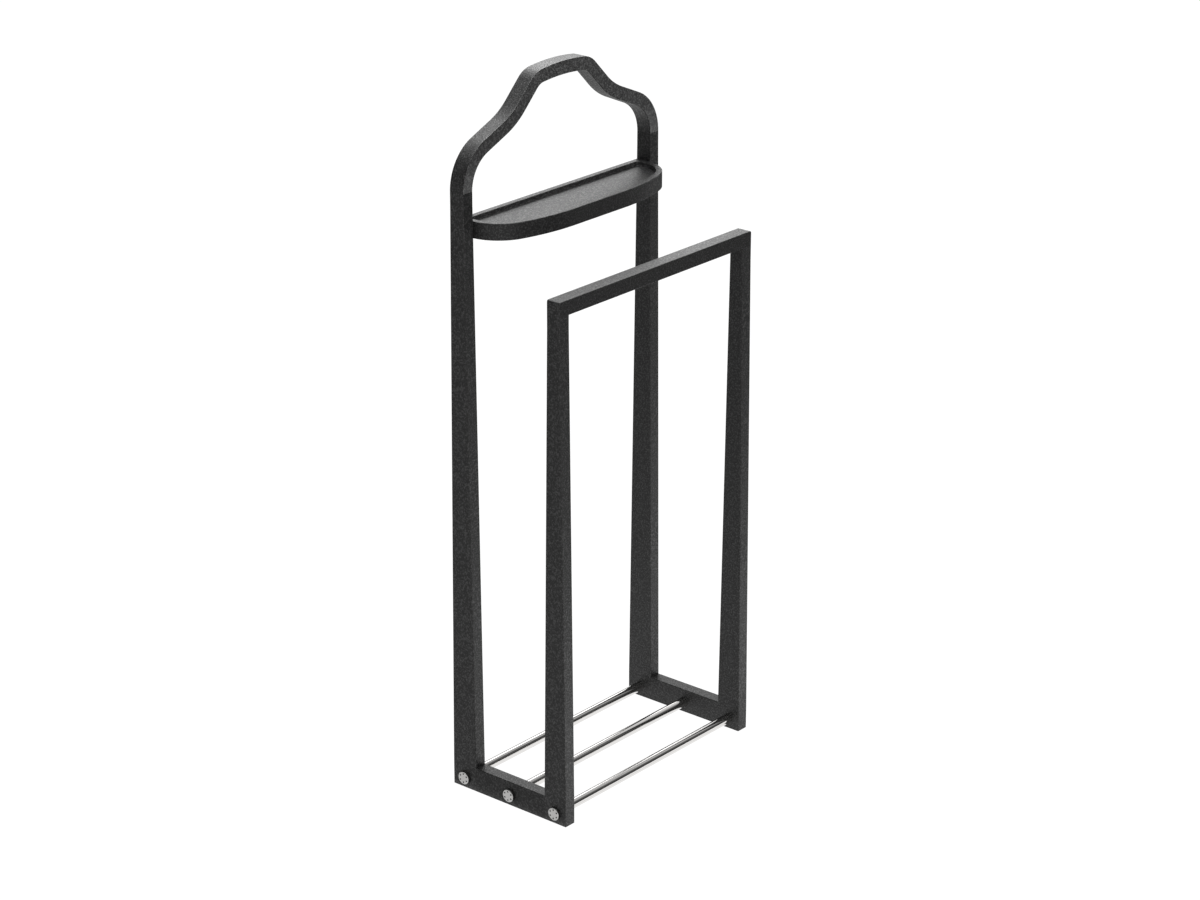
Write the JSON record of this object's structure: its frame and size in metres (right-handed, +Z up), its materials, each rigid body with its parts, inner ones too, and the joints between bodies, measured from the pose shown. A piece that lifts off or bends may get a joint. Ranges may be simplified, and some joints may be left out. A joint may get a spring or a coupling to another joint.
{
  "type": "clothes valet",
  "caption": "Clothes valet: tapered legs, a hanger-shaped arch over a D-shaped tray, a trouser bar in front and chrome shoe rods near the floor.",
  "frame": {"origin": "on the floor, under the middle of the part", "axes": "+Z up; the trouser bar is at -Y and the hanger arch at +Y; +X to the right of someone who faces the trouser bar"},
  "size_m": [0.438, 0.22, 1.072],
  "materials": {
    "black_lacquer": "satin black lacquer on hardwood",
    "chrome_tube": "polished chrome plate",
    "nickel_plated_steel": "matt nickel plate",
    "zinc_plated_steel": "bright zinc plate",
    "beech": "bare beech"
  },
  "bodies": {
    "root": {"left_front_leg": "black_lacquer", "right_front_leg": "black_lacquer", "left_rear_leg": "black_lacquer", "right_rear_leg": "black_lacquer", "left_side_rail": "black_lacquer", "right_side_rail": "black_lacquer", "trouser_bar": "black_lacquer", "hanger_arch": "black_lacquer", "tray": "black_lacquer", "front_shoe_rod": "chrome_tube", "middle_shoe_rod": "chrome_tube", "rear_shoe_rod": "chrome_tube", "rod_end_inserts": "zinc_plated_steel", "left_rod_bolts": "nickel_plated_steel", "right_rod_bolts": "nickel_plated_steel", "trouser_bar_dowels": "beech", "hanger_arch_dowels": "beech", "tray_dowels": "beech", "left_rail_dowels": "beech", "right_rail_dowels": "beech"}
  },
  "joints": []
}
